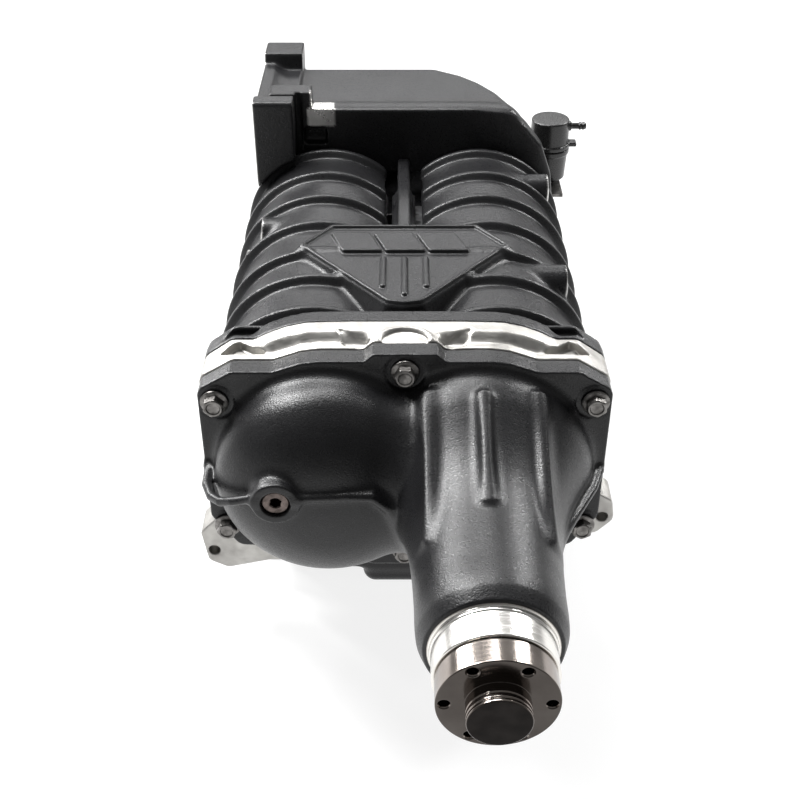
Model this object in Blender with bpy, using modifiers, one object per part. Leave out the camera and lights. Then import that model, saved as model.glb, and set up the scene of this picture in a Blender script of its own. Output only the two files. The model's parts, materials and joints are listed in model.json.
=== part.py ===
"""A twin-rotor supercharger: ribbed rotor case, bearing plate, gear cover with drive snout, inlet elbow.

Everything is laid out from the case datum: X = 0 midway between the rotors, Y = 0 on the front face of
the cover's flange, Z = 0 on the rotor axes. The last step moves it all so that the origin is under the
middle of the whole unit, on the plane it stands on. Metres, +Y to the rear, +Z up.
"""
import math

import bmesh
import bpy
import numpy as np
from mathutils import Vector

# ---- driving dimensions -------------------------------------------------------------------------
GAP = 0.0003                 # between touching pieces
SHAFT_X = 0.040              # each rotor axis, from the middle
BORE_R = 0.049               # rotor bore
ROTOR_TIP_R = 0.0486
ROTOR_CLEARANCE = 0.0003     # taken off each rotor's profile
ROTOR_LOBES = 4
ROTOR_TWIST = math.radians(160)
SHAFT_R = 0.010

COVER_REAR = 0.012           # cover flange, from the datum back
PLATE_REAR = 0.032
FLANGE_REAR = 0.043          # case's front flange
CASE_REAR = 0.284
BORE_REAR = 0.262
BASE_Z = -0.130              # plane that the unit stands on

FLANGE_X = 0.109
FLANGE_TOP = 0.0678
CORNER_TOP = 0.0612          # flanges' top edge over the corner bolts
FLANGE_BOTTOM = -0.062
BADGE_TOP = 0.0655           # raised plate between the barrels
ARCH_TOP = 0.072             # case flange and bearing plate rise above the cover in an arch
BOLT_X = 0.100
BOLT_Z = 0.04275
CENTRE_BOLT_Z = 0.0616
BOLT_R = 0.003
BOLT_HOLE_R = 0.0034
BOLT_HEAD_AF = 0.010
BOLT_WASHER_R = 0.0075

LOBE_X = 0.052               # outer form of the case: two ribbed barrels
LOBE_Z = 0.004
LOBE_R = 0.0555
RIB_R = 0.060
RIB_Y = (0.062, 0.0975, 0.128, 0.165, 0.202, 0.237, 0.2726)
RIB_HALF = 0.0055

SNOUT_FRONT = -0.130
SNOUT_R = 0.0355
REGISTER_FRONT = -0.1515
REGISTER_R = 0.029
SNOUT_BORE_R = 0.0213
HUB_R = 0.02775
HUB_FRONT = -0.165
NOSE_R = 0.01465
NOSE_FRONT = -0.1754
HUB_HOLES = 6                # threaded holes for the pulley
HUB_HOLE_CIRCLE_R = 0.0236
HUB_HOLE_R = 0.0024
GEAR_PITCH_R = SHAFT_X
GEAR_TEETH = 32
GEAR_FRONT = -0.015
GEAR_REAR = 0.000

DUCT_Y = 0.328               # inlet duct's axis runs along X
DUCT_Z = 0.042
DUCT_R = 0.038
ELBOW_TOP = 0.087
ELBOW_REAR = 0.372
ELBOW_FLANGE_REAR = 0.296
ACCESS_R = 0.0095            # room for a socket round each of the elbow's bolts
THROTTLE_FACE = -0.103
THROTTLE_FRONT = 0.263
THROTTLE_REAR = 0.385
THROTTLE_TOP = 0.102

VALVE_X = 0.050              # bypass passage's axis is vertical
VALVE_Y = DUCT_Y
VALVE_Z = -0.040
VALVE_BORE_R = 0.017
VALVE_SWING = math.radians(85)
LEVER_R = 0.014
CAN_X = 0.110
CAN_R = 0.0145
CAN_TOP = 0.060
BARB_TIP = 0.137
LUG_TIP = -0.119
CAN_Y = VALVE_Y + LEVER_R * math.cos(VALVE_SWING / 2)
PIN_Z = VALVE_Z - LEVER_R * math.sin(VALVE_SWING / 2)

ORIGIN = Vector(((LUG_TIP + BARB_TIP) / 2, (NOSE_FRONT + THROTTLE_REAR) / 2, BASE_Z))

ALONG = {"X": (0, math.pi / 2, 0), "Y": (math.pi / 2, 0, 0), "Z": (0, 0, 0)}


# ---- scene, collections and materials -----------------------------------------------------------
def start():
    for old in list(bpy.data.objects):
        bpy.data.objects.remove(old)
    made = []
    for name in ("supercharger", "cutters"):
        collection = bpy.data.collections.new(name)
        bpy.context.scene.collection.children.link(collection)
        made.append(collection)
    return made


PARTS, CUTTERS = start()


def finish_material(name, colour, roughness, metallic):
    made = bpy.data.materials.get(name)
    if made:
        return made
    made = bpy.data.materials.new(name)
    made.use_nodes = True
    shader = made.node_tree.nodes["Principled BSDF"]
    shader.inputs["Base Color"].default_value = (*colour, 1)
    shader.inputs["Roughness"].default_value = roughness
    shader.inputs["Metallic"].default_value = metallic
    return made


def black_casting():
    return finish_material("black_casting", (0.025, 0.025, 0.028), 0.55, 0.0)


def bare_aluminium():
    return finish_material("bare_aluminium", (0.78, 0.77, 0.75), 0.35, 1.0)


def machined_steel():
    return finish_material("machined_steel", (0.42, 0.40, 0.38), 0.2, 1.0)


def dark_steel():
    return finish_material("dark_steel", (0.10, 0.10, 0.10), 0.4, 1.0)


def rotor_metal():
    return finish_material("rotor_metal", (0.62, 0.63, 0.64), 0.3, 1.0)


def black_plastic():
    return finish_material("black_plastic", (0.02, 0.02, 0.02), 0.45, 0.0)


def seal_rubber():
    return finish_material("seal_rubber", (0.015, 0.015, 0.015), 0.7, 0.0)


# ---- building blocks ----------------------------------------------------------------------------
def add(name, mesh, material=None):
    made = bpy.data.objects.new(name, mesh)
    if material:
        mesh.materials.append(material)
        PARTS.objects.link(made)
    else:
        CUTTERS.objects.link(made)
        made.hide_render = True
        made.display_type = "WIRE"
    return made


def mesh_from(fill, name):
    mesh = bpy.data.meshes.new(name)
    shape = bmesh.new()
    fill(shape)
    bmesh.ops.recalc_face_normals(shape, faces=shape.faces)
    shape.to_mesh(mesh)
    shape.free()
    return mesh


def block(name, x, y, z, material=None):
    """A box between two limits on each axis."""
    size = Vector((x[1] - x[0], y[1] - y[0], z[1] - z[0]))

    def fill(shape):
        bmesh.ops.create_cube(shape, size=1)
        bmesh.ops.scale(shape, vec=size, verts=shape.verts)

    made = add(name, mesh_from(fill, name), material)
    made.location = ((x[0] + x[1]) / 2, (y[0] + y[1]) / 2, (z[0] + z[1]) / 2)
    return made


def rod(name, axis, at, span, radius, sides=24, material=None):
    """A cylinder along an axis, between two limits on it; at holds the other two coordinates."""
    def fill(shape):
        bmesh.ops.create_cone(
            shape, cap_ends=True, segments=sides, radius1=radius, radius2=radius, depth=span[1] - span[0])

    mesh = mesh_from(fill, name)
    mesh.shade_smooth()
    mesh.set_sharp_from_angle(angle=math.radians(40))
    made = add(name, mesh, material)
    middle = (span[0] + span[1]) / 2
    place = {"X": (middle, *at), "Y": (at[0], middle, at[1]), "Z": (*at, middle)}
    made.location = place[axis]
    made.rotation_euler = ALONG[axis]
    return made


def turned(name, profile, at, sides=32, material=None):
    """A solid turned about an axis along Y at (x, z): profile is (radius, y) from the rear to the front."""
    mesh = bpy.data.meshes.new(name)
    points = [(radius, 0, -y) for radius, y in profile]
    mesh.from_pydata(points, [(i, i + 1) for i in range(len(points) - 1)], [])
    made = add(name, mesh, material)
    screw = made.modifiers.new("turn", "SCREW")
    screw.axis = "Z"
    screw.steps = sides
    screw.render_steps = sides
    screw.use_merge_vertices = True
    screw.merge_threshold = 0.00001
    made.location = (at[0], 0, at[1])
    made.rotation_euler = ALONG["Y"]
    return made


def ring(name, axis, at, span, inner, outer, sides=24, material=None):
    made = rod(name, axis, at, span, outer, sides, material)
    cut(made, rod(name + "_hole", axis, at, (span[0] - 0.01, span[1] + 0.01), inner, sides))
    return made


def outline_solid(name, points, plane, span, material=None):
    """A flat outline in the XY, XZ or YZ plane, thickened between two limits on the third axis."""
    def fill(shape):
        lift = {"XY": lambda a, b, c: (a, b, c), "XZ": lambda a, b, c: (a, c, b),
                "YZ": lambda a, b, c: (c, a, b)}[plane]
        face = shape.faces.new([shape.verts.new(lift(a, b, span[0])) for a, b in points])
        grown = bmesh.ops.extrude_face_region(shape, geom=[face])
        moved = [item for item in grown["geom"] if isinstance(item, bmesh.types.BMVert)]
        bmesh.ops.translate(shape, verts=moved, vec=lift(0, 0, span[1] - span[0]))
        bmesh.ops.triangulate(shape, faces=shape.faces)

    return add(name, mesh_from(fill, name), material)


def boolean(target, other, operation):
    change = target.modifiers.new(other.name, "BOOLEAN")
    change.operation = operation
    change.solver = "EXACT"
    change.object = other
    return target


def cut(target, *others):
    for other in others:
        boolean(target, other, "DIFFERENCE")
    return target


def join(target, *others):
    for other in others:
        boolean(target, other, "UNION")
    return target


def mirrored(points):
    """The right half of a closed outline, from top to bottom, with its mirror image on the left."""
    return points + [(-x, z) for x, z in reversed(points) if x > 0]


def arc(centre, radius, start, end, count):
    steps = np.linspace(math.radians(start), math.radians(end), count)
    return [(centre[0] + radius * math.cos(t), centre[1] + radius * math.sin(t)) for t in steps]


def bolt_places():
    return {
        "upper_left": (-BOLT_X, BOLT_Z), "upper_right": (BOLT_X, BOLT_Z),
        "lower_left": (-BOLT_X, -BOLT_Z), "lower_right": (BOLT_X, -BOLT_Z),
        "top": (0, CENTRE_BOLT_Z), "bottom": (0, -CENTRE_BOLT_Z),
    }


def flange_outline():
    """Front view of the joint faces: chamfered corners and a boss round each centre bolt."""
    return mirrored([
        (0.0165, 0.0722), (0.0210, FLANGE_TOP), (0.0450, FLANGE_TOP), (0.0545, 0.0665), (0.0690, CORNER_TOP),
        (0.0905, CORNER_TOP), (0.1070, 0.0510), (FLANGE_X, 0.0470), (FLANGE_X, -0.0370),
        (0.0945, -0.0586), (0.0340, FLANGE_BOTTOM), (0.0200, -0.0735)])


def case_outline():
    """The cover's outline with its top edge replaced by one broad arch between the corner bosses."""
    return mirrored([
        (0.0300, ARCH_TOP + 0.0007), (0.0520, ARCH_TOP), (0.0630, 0.0695), (0.0720, 0.0660), (0.0810, CORNER_TOP),
        (0.0925, CORNER_TOP), (0.1070, 0.0510), (FLANGE_X, 0.0470), (FLANGE_X, -0.0370),
        (0.0945, -0.0586), (0.0340, FLANGE_BOTTOM), (0.0200, -0.0735)])


def drill_for_bolts(target, span):
    for place, (x, z) in bolt_places().items():
        cut(target, rod(f"{target.name}_hole_{place}", "Y", (x, z), span, BOLT_HOLE_R, 12))


# ---- rotor case ---------------------------------------------------------------------------------
def ribbed_barrel(side):
    """One rotor's half of the case, with a raised rib at each station along it."""
    profile = [(0, CASE_REAR), (LOBE_R, CASE_REAR)]
    for y in reversed(RIB_Y):
        profile += [(LOBE_R, y + RIB_HALF), (RIB_R, y + 0.002), (RIB_R, y - 0.002), (LOBE_R, y - RIB_HALF)]
    profile += [(LOBE_R, PLATE_REAR + 0.002), (0, PLATE_REAR + 0.002)]
    return turned(f"barrel_{side}", profile, (LOBE_X * side, LOBE_Z), 28)


def badge_outline():
    return [(0.0455, 0.158), (0.0645, 0.132), (0.010, 0.065), (0, 0.063),
            (-0.010, 0.065), (-0.0645, 0.132), (-0.0455, 0.158)]


def rotor_housing():
    case = outline_solid("rotor_housing", case_outline(), "XZ", (PLATE_REAR + GAP, FLANGE_REAR), black_casting())
    neck_z = -0.108
    join(
        case, ribbed_barrel(-1), ribbed_barrel(1),
        block("valley", (-0.0145, 0.0145), (0.040, CASE_REAR - 0.0002), (-0.050, 0.0422)),
        block("spine", (-0.0045, 0.0045), (0.150, CASE_REAR - 0.0004), (0.035, 0.052)),
        outline_solid("badge", badge_outline(), "XY", (0.035, BADGE_TOP)),
        block("neck", (-0.088, 0.088), (0.0405, CASE_REAR - 0.0006), (neck_z, -0.020)),
        block("step", (-0.056, 0.056), (0.0402, 0.100), (neck_z - 0.008, -0.060)),
        block("keel", (-0.026, 0.026), (0.0398, 0.100), (BASE_Z + 0.0005, -0.070)),
        block("base_flange", (-0.092, 0.092), (0.066, CASE_REAR - 0.0008), (BASE_Z, neck_z - 0.010)),
        block("base_wall", (-0.084, 0.084), (0.0665, CASE_REAR - 0.0010), (BASE_Z + 0.003, neck_z + 0.010)),
        rod("boss_left", "X", (0.188, 0.044), (-0.092, -0.060), 0.010, 20),
        rod("boss_rear", "X", (0.254, 0.0435), (0.060, 0.100), 0.010, 20),
        rod("boss_front", "X", (0.1215, 0.046), (0.060, 0.098), 0.010, 20))
    for side in (-1, 1):
        cut(case, rod(f"rotor_bore_{side}", "Y", (SHAFT_X * side, 0), (0.020, BORE_REAR), BORE_R, 32))
        cut(case, rod(f"rear_seat_{side}", "Y", (SHAFT_X * side, 0), (0.250, 0.278), 0.0143, 20))
    cut(
        case,
        block("inlet_window", (-0.058, 0.058), (0.255, 0.300), (0.019, 0.042)),
        block("discharge_port", (-0.038, 0.038), (0.115, 0.215), (-0.110, -0.015)),
        block("plenum", (-0.072, 0.072), (0.110, 0.262), (-0.150, -0.066)))
    drill_for_bolts(case, (0.020, 0.0415))
    for place, (x, z) in elbow_bolt_places().items():
        cut(case, rod(f"rear_hole_{place}", "Y", (x, z), (0.268, 0.300), BOLT_HOLE_R, 12))
    for side in (-1, 1):
        cut(case, rod(f"case_dowel_{side}", "Y", (0.104 * side, 0), (0.020, 0.038), 0.0023, 10))
    return case


# ---- bearing plate ------------------------------------------------------------------------------
def plate_outline():
    """The flange's outline with a lug at each lower corner."""
    return [
        (-0.030, ARCH_TOP + 0.0008), (0.030, ARCH_TOP + 0.0008), (0.052, ARCH_TOP), (0.063, 0.0696),
        (0.072, 0.0661), (0.0812, 0.0614), (0.0927, 0.0614), (0.1073, 0.0512), (0.1095, 0.047),
        (0.1095, -0.030), (0.119, -0.036), (0.121, -0.050), (0.112, -0.060),
        (0.090, -0.066), (0.050, -0.082), (-0.080, -0.082), (-0.105, -0.088), (LUG_TIP + 0.003, -0.082),
        (LUG_TIP, -0.060), (-0.1095, -0.050), (-0.1095, 0.047), (-0.1073, 0.0512), (-0.0927, 0.0614),
        (-0.0812, 0.0614), (-0.072, 0.0661), (-0.063, 0.0696), (-0.052, ARCH_TOP),
    ]


def bearing_plate():
    front, rear = COVER_REAR + GAP, PLATE_REAR - GAP
    plate = outline_solid("bearing_plate", plate_outline(), "XZ", (front, rear), bare_aluminium())
    for side in (-1, 1):
        at = (SHAFT_X * side, 0)
        cut(
            plate,
            rod(f"bearing_seat_{side}", "Y", at, (0, 0.0233), 0.0178, 28),
            rod(f"seal_seat_{side}", "Y", at, (0.020, 0.040), 0.0143, 28),
            rod(f"dowel_hole_{side}", "Y", (0.104 * side, 0), (0, 0.040), 0.0023, 10))
    drill_for_bolts(plate, (0, 0.040))
    return plate


# ---- front cover --------------------------------------------------------------------------------
def gusset(name, x, top):
    """A tapering rib along the top of the snout, given as (y, z) from the flange forward."""
    return outline_solid(name, top + [(top[-1][0], 0.020), (top[0][0], 0.020)], "YZ", (x - 0.003, x + 0.003))


def front_cover():
    cover = outline_solid("front_cover", flange_outline(), "XZ", (0, COVER_REAR), black_casting())
    dome = [(0, 0.006), (0.0625, 0.006), (0.0605, -0.010), (0.0575, -0.021), (0.0530, -0.030), (0.0470, -0.0365),
            (0.038, -0.0415), (0.024, -0.045), (0, -0.0457)]
    trumpet = [(0, 0.0065), (0.062, 0.0065), (0.0605, -0.012), (0.056, -0.024), (0.048, -0.038), (0.0415, -0.054),
               (0.038, -0.074), (0.036, -0.100), (SNOUT_R, SNOUT_FRONT + 0.010), (SNOUT_R, SNOUT_FRONT),
               (0.0328, SNOUT_FRONT - 0.001), (0.0328, -0.1352), (REGISTER_R, -0.1358),
               (REGISTER_R, REGISTER_FRONT), (0, REGISTER_FRONT)]
    join(
        cover,
        turned("gear_dome", dome, (-0.042, 0), 32),
        turned("snout_body", trumpet, (SHAFT_X, 0), 32),
        block("bridge", (-0.030, 0.030), (-0.026, 0.0062), (-0.050, 0.045)),
        rod("plug_boss", "Y", (-0.066, 0.012), (-0.0462, -0.020), 0.014, 24),
        gusset("gusset_left", SHAFT_X - 0.026, [(-0.002, 0.056), (-0.030, 0.048), (-0.088, 0.024)]),
        gusset("gusset_middle", SHAFT_X, [(-0.010, 0.063), (-0.038, 0.055), (-0.080, 0.037)]),
        gusset("gusset_right", SHAFT_X + 0.026, [(-0.002, 0.056), (-0.030, 0.048), (-0.088, 0.024)]))
    for side in (-1, 1):
        cut(cover, rod(f"gear_cavity_{side}", "Y", (SHAFT_X * side, 0), (-0.031, 0.020), 0.0455, 28))
        cut(cover, rod(f"cover_dowel_{side}", "Y", (0.104 * side, 0), (0.006, 0.020), 0.0023, 10))
    at = (SHAFT_X, 0)
    cut(
        cover,
        rod("snout_front_bore", "Y", at, (-0.160, -0.103), SNOUT_BORE_R, 32),
        rod("snout_middle_bore", "Y", at, (-0.110, -0.050), 0.0170, 32),
        rod("snout_rear_bore", "Y", at, (-0.064, -0.020), SNOUT_BORE_R, 32),
        rod("plug_recess", "Y", (-0.066, 0.012), (-0.050, -0.0430), 0.0077, 20),
        rod("plug_hole", "Y", (-0.066, 0.012), (-0.050, -0.020), 0.0060, 16))
    drill_for_bolts(cover, (-0.020, 0.020))
    return cover


def hex_bolt(name, at, seat, tip, material):
    """A hexagon flange bolt whose washer face rests on the plane y = seat, with its shank ending at y = tip."""
    facing = -1 if tip > seat else 1

    def along(near, far):
        ends = (seat + facing * near, seat + facing * far)
        return (min(ends), max(ends))

    start, end = sorted((seat + facing * 0.0012, tip))
    bolt = rod(name, "Y", at, (start, end), BOLT_R, 16, material)
    washer = rod(name + "_washer", "Y", at, along(GAP, 0.0016), BOLT_WASHER_R, 20)
    hexagon = rod(name + "_hex", "Y", at, along(0.0010, 0.0068), BOLT_HEAD_AF / math.sqrt(3), 6)
    join(bolt, washer, hexagon)
    return bolt


def cover_bolts():
    for place, at in bolt_places().items():
        hex_bolt(f"cover_bolt_{place}", at, 0, 0.0405, dark_steel())


def oil_fill_plug():
    at = (-0.066, 0.012)
    plug = rod("oil_fill_plug", "Y", at, (-0.0457, -0.0433), 0.0073, 20, dark_steel())
    join(plug, rod("plug_thread", "Y", at, (-0.0445, -0.032), 0.0056, 16))
    cut(plug, rod("plug_socket", "Y", at, (-0.050, -0.0390), 0.0032, 6))
    return plug


def dowel_pins():
    for side, name in ((-1, "dowel_pin_left"), (1, "dowel_pin_right")):
        rod(name, "Y", (0.104 * side, 0), (0.0065, 0.0375), 0.0020, 12, machined_steel())


# ---- rotors, gears and shafts -------------------------------------------------------------------
def lobe_profile(points_each):
    """One rotor's section: circular lobe tips, and roots that are what the mate's tips sweep out.

    The tip arc's centre sits so that the arc meets the pitch circle half way between lobe and root.
    """
    pitch, tip = SHAFT_X, ROTOR_TIP_R
    half = math.pi / (2 * ROTOR_LOBES)
    centre = (tip ** 2 - pitch ** 2) / (2 * (tip - pitch * math.cos(half)))
    radius = tip - centre
    crossing = pitch * np.exp(1j * half) - centre
    tips = centre + (radius - ROTOR_CLEARANCE) * np.exp(1j * np.linspace(0, np.angle(crossing), points_each))
    turn = np.linspace(half, 0, points_each)[1:]
    path = (centre * np.exp(1j * turn) - 2 * pitch) * np.exp(1j * turn)
    slope = (2j * centre * np.exp(2j * turn) - 2j * pitch * np.exp(1j * turn))
    normal = 1j * slope / np.abs(slope)
    normal = np.where((normal * -path.conj()).real > 0, normal, -normal)
    roots = -(path + (radius + ROTOR_CLEARANCE) * normal)
    half_pitch = math.pi / ROTOR_LOBES
    roots = roots * np.exp(1j * half_pitch)
    roots = np.where(np.angle(roots) > half_pitch, roots.conj() * np.exp(2j * half_pitch), roots)
    side = np.concatenate([tips, roots])
    lobe = np.concatenate([side, (side[1:-1] * np.exp(-2j * half_pitch)).conj()[::-1]])
    return np.concatenate([lobe * np.exp(2j * half_pitch * n) for n in range(ROTOR_LOBES)])


def loft(name, sections, material):
    """A closed solid through a stack of sections: arrays of complex (x, z) values, each with its y."""
    def fill(shape):
        rings = [[shape.verts.new((p.real, y, p.imag)) for p in points] for y, points in sections]
        count = len(rings[0])
        for near, far in zip(rings, rings[1:]):
            for i in range(count):
                j = (i + 1) % count
                shape.faces.new((near[i], near[j], far[j], far[i]))
        shape.faces.new(rings[0])
        shape.faces.new(list(reversed(rings[-1])))

    mesh = mesh_from(fill, name)
    mesh.shade_smooth()
    mesh.set_sharp_from_angle(angle=math.radians(45))
    return add(name, mesh, material)


def rotor(name, side, phase):
    profile = lobe_profile(4)
    front, rear, stations = 0.0340, 0.2600, 15
    sections = []
    for share in np.linspace(0, 1, stations):
        turn = phase + side * ROTOR_TWIST * share
        sections.append((front + (rear - front) * share, profile * np.exp(1j * turn)))
    made = loft(name, sections, rotor_metal())
    made.location = (SHAFT_X * side, 0, 0)
    cut(made, rod(name + "_bore", "Y", (SHAFT_X * side, 0), (0, 0.300), SHAFT_R + GAP, 24))
    return made


def gear(name, side, phase):
    """A spur gear of straight-flanked teeth with a little backlash."""
    pitch = 2 * math.pi / GEAR_TEETH
    flank = ((GEAR_PITCH_R - 0.0029, 0.345), (GEAR_PITCH_R, 0.232), (GEAR_PITCH_R + 0.0022, 0.135))
    tooth = [(radius, -share) for radius, share in flank] + [(radius, share) for radius, share in reversed(flank)]
    outline = np.array([
        radius * np.exp(1j * (phase + pitch * (n + share))) for n in range(GEAR_TEETH) for radius, share in tooth])
    made = loft(name, [(GEAR_FRONT, outline), (GEAR_REAR, outline)], machined_steel())
    made.location = (SHAFT_X * side, 0, 0)
    cut(made, rod(name + "_bore", "Y", (SHAFT_X * side, 0), (-0.100, 0.100), SHAFT_R + GAP, 24))
    return made


def rotating_set():
    half_tooth = math.pi / GEAR_TEETH
    for side, word in ((1, "drive"), (-1, "driven")):
        at = (SHAFT_X * side, 0)
        rotor(f"{word}_rotor", side, 0 if side > 0 else math.pi / ROTOR_LOBES)
        gear(f"{word}_gear", side, 0 if side > 0 else half_tooth)
        rod(f"{word}_rotor_shaft", "Y", at, (GEAR_FRONT, 0.2765), SHAFT_R, 24, machined_steel())
        ring(f"{word}_front_bearing", "Y", at, (0.0135, 0.0230), SHAFT_R + GAP, 0.0175, 28, machined_steel())
        ring(f"{word}_rotor_seal", "Y", at, (0.0240, 0.0310), SHAFT_R + GAP, 0.0140, 24, seal_rubber())
        ring(f"{word}_rear_bearing", "Y", at, (0.2640, 0.2760), SHAFT_R + GAP, 0.0140, 20, machined_steel())


def input_drive():
    at = (SHAFT_X, 0)
    shaft = rod("input_shaft", "Y", at, (-0.160, -0.0285), 0.0085, 24, machined_steel())
    join(shaft, rod("input_shaft_flange", "Y", at, (-0.0340, -0.0283), 0.0160, 24))
    ring("snout_front_bearing", "Y", at, (-0.1180, -0.1060), 0.0088, 0.0210, 28, machined_steel())
    ring("snout_rear_bearing", "Y", at, (-0.0630, -0.0510), 0.0088, 0.0210, 28, machined_steel())
    ring("snout_seal", "Y", at, (-0.1290, -0.1220), 0.0088, 0.0210, 24, seal_rubber())
    ring("isolator_coupling", "Y", at, (-0.0278, GEAR_FRONT - 0.0005), 0.0060, 0.0200, 24, black_plastic())
    profile = [(0, -0.1310), (0.0195, -0.1310), (0.0195, REGISTER_FRONT - GAP), (HUB_R, REGISTER_FRONT - GAP),
               (HUB_R, HUB_FRONT), (NOSE_R, HUB_FRONT), (NOSE_R, -0.1683), (NOSE_R - 0.0008, -0.1688),
               (NOSE_R - 0.0008, -0.1696), (NOSE_R, -0.1701), (NOSE_R, NOSE_FRONT + 0.001),
               (NOSE_R - 0.001, NOSE_FRONT), (0, NOSE_FRONT)]
    hub = turned("drive_hub", profile, at, 32, machined_steel())
    cut(hub, rod("hub_bore", "Y", at, (-0.1610, -0.100), 0.0088, 24))
    for n in range(HUB_HOLES):
        turn = math.tau * n / HUB_HOLES
        place = (SHAFT_X + HUB_HOLE_CIRCLE_R * math.cos(turn), HUB_HOLE_CIRCLE_R * math.sin(turn))
        cut(hub, rod(f"hub_hole_{n}", "Y", place, (-0.180, -0.1560), HUB_HOLE_R, 8))


# ---- inlet elbow --------------------------------------------------------------------------------
def elbow_bolt_places():
    return {"right": (0.098, 0.015), "left": (-0.080, -0.040), "lower_right": (0.012, -0.066),
            "lower_left": (-0.060, -0.066)}


def elbow_flange_outline():
    """Front view: flat top on the left, falling away in a wide curve on the right."""
    return [
        (-0.070, ELBOW_TOP), (0.050, ELBOW_TOP), (0.069, 0.0835), (0.086, 0.0745), (0.098, 0.0615), (0.106, 0.039),
        (0.1085, 0.010), (0.1085, -0.012), (0.088, -0.052), (0.072, -0.078), (-0.072, -0.078), (-0.088, -0.050),
        (-0.1085, -0.026), (-0.1085, 0.004), (-0.070, 0.020)]


def elbow_plan():
    return [
        (-0.085, 0.2850), (0.083, 0.2850), (0.078, 0.300), (0.070, 0.319), (0.058, 0.343), (0.045, 0.358),
        (0.026, ELBOW_REAR), (-0.085, ELBOW_REAR)]


def elbow_shoulder():
    """Plan view of the wider lower half of the bend."""
    return [
        (-0.084, 0.2852), (0.1030, 0.2852), (0.1010, 0.300), (0.0920, 0.3090), (0.0815, 0.3105), (0.0780, 0.332),
        (0.0670, 0.348), (0.0520, 0.360), (0.0300, ELBOW_REAR - 0.0002), (-0.084, ELBOW_REAR - 0.0002)]


def inlet_elbow():
    front = CASE_REAR + GAP
    elbow = outline_solid("inlet_elbow", elbow_plan(), "XY", (-0.010, ELBOW_TOP - 0.0004), black_casting())
    throttle = [
        (THROTTLE_FRONT, THROTTLE_TOP), (0.2765, THROTTLE_TOP), (0.2785, 0.0905), (0.357, 0.0905),
        (0.3590, THROTTLE_TOP), (THROTTLE_REAR, THROTTLE_TOP), (THROTTLE_REAR, 0.078), (0.376, 0.070),
        (0.376, 0.012), (THROTTLE_REAR, 0.004), (THROTTLE_REAR, -0.016), (0.366, -0.018), (0.286, -0.018),
        (0.2846, 0.004), (THROTTLE_FRONT, 0.062)]
    join(
        elbow,
        outline_solid("rear_flange", elbow_flange_outline(), "XZ", (front, ELBOW_FLANGE_REAR)),
        outline_solid("throttle_flange", throttle, "YZ", (THROTTLE_FACE, -0.075)),
        outline_solid("elbow_shoulder", elbow_shoulder(), "XY", (-0.0098, 0.042)),
        block("flange_back", (-0.077, -0.064), (front, 0.3000), (0.062, 0.1005)),
        block("bypass_leg", (0.026, 0.080), (0.2855, 0.358), (-0.1200, 0.002)),
        block("bypass_foot", (0.012, 0.094), (0.2860, 0.370), (BASE_Z, -0.118)),
        block("can_bracket_foot", (0.060, 0.095), (0.312, 0.330), (-0.006, 0.008)))
    cut(
        elbow,
        rod("barrel_clearance", "Y", (-LOBE_X, LOBE_Z), (0.250, front), RIB_R + 0.001, 32),
        rod("duct", "X", (DUCT_Y, DUCT_Z), (-0.150, 0.052), DUCT_R, 36),
        block("duct_mouth", (-0.056, 0.056), (0.250, 0.330), (0.0195, 0.0415)),
        rod("bypass_bore", "Z", (VALVE_X, VALVE_Y), (-0.150, 0.030), VALVE_BORE_R, 32),
        rod("valve_shaft_hole", "X", (VALVE_Y, VALVE_Z), (0.0295, 0.120), 0.0044, 16),
        rod("can_screw_hole", "Z", (0.090, 0.321), (-0.004, 0.020), 0.0024, 10))
    for place, (x, z) in elbow_bolt_places().items():
        cut(elbow, rod(f"elbow_access_{place}", "Y", (x, z), (ELBOW_FLANGE_REAR, 0.325), ACCESS_R, 20))
        cut(elbow, rod(f"elbow_hole_{place}", "Y", (x, z), (0.270, 0.310), BOLT_HOLE_R, 12))
        hex_bolt(f"elbow_bolt_{place}", (x, z), ELBOW_FLANGE_REAR, 0.270, dark_steel())
    return elbow


# ---- bypass valve and its actuator --------------------------------------------------------------
def hinge_empty():
    pivot = bpy.data.objects.new("bypass_pivot", None)
    PARTS.objects.link(pivot)
    pivot.location = (0, VALVE_Y, VALVE_Z)
    return pivot


def ride_on(pivot, *pieces):
    for piece in pieces:
        piece.location -= pivot.location
        piece.parent = pivot


def bypass_valve():
    pivot = hinge_empty()
    seat = 0.0164
    shaft = rod("bypass_shaft", "X", (VALVE_Y, VALVE_Z), (0.0305, 0.1020), 0.0040, 16, machined_steel())
    flat = block("shaft_flat", (VALVE_X - seat - 0.0003, VALVE_X + seat + 0.0003),
                 (VALVE_Y - 0.01, VALVE_Y + 0.01), (VALVE_Z, VALVE_Z + 0.01))
    plate = rod("bypass_plate", "Z", (VALVE_X, VALVE_Y), (VALVE_Z + GAP, VALVE_Z + 0.0020), seat, 32,
                machined_steel())
    ride_on(pivot, shaft, flat, plate)
    cut(shaft, flat)
    for side, name in ((-1, "bypass_plate_screw_left"), (1, "bypass_plate_screw_right")):
        at = (VALVE_X + 0.008 * side, VALVE_Y)
        screw = rod(name, "Z", at, (VALVE_Z - 0.0025, VALVE_Z + 0.0030), 0.0012, 10, dark_steel())
        head = rod(name + "_head", "Z", at, (VALVE_Z + 0.0023, VALVE_Z + 0.0036), 0.0022, 12)
        plate_hole = rod(name + "_clear", "Z", at, (VALVE_Z - 0.010, VALVE_Z + 0.010), 0.0016, 10)
        shaft_hole = rod(name + "_tap", "Z", at, (VALVE_Z - 0.0028, VALVE_Z + 0.010), 0.0016, 10)
        ride_on(pivot, screw, head, plate_hole, shaft_hole)
        join(screw, head)
        cut(plate, plate_hole)
        cut(shaft, shaft_hole)
    bypass_lever(pivot)


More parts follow.
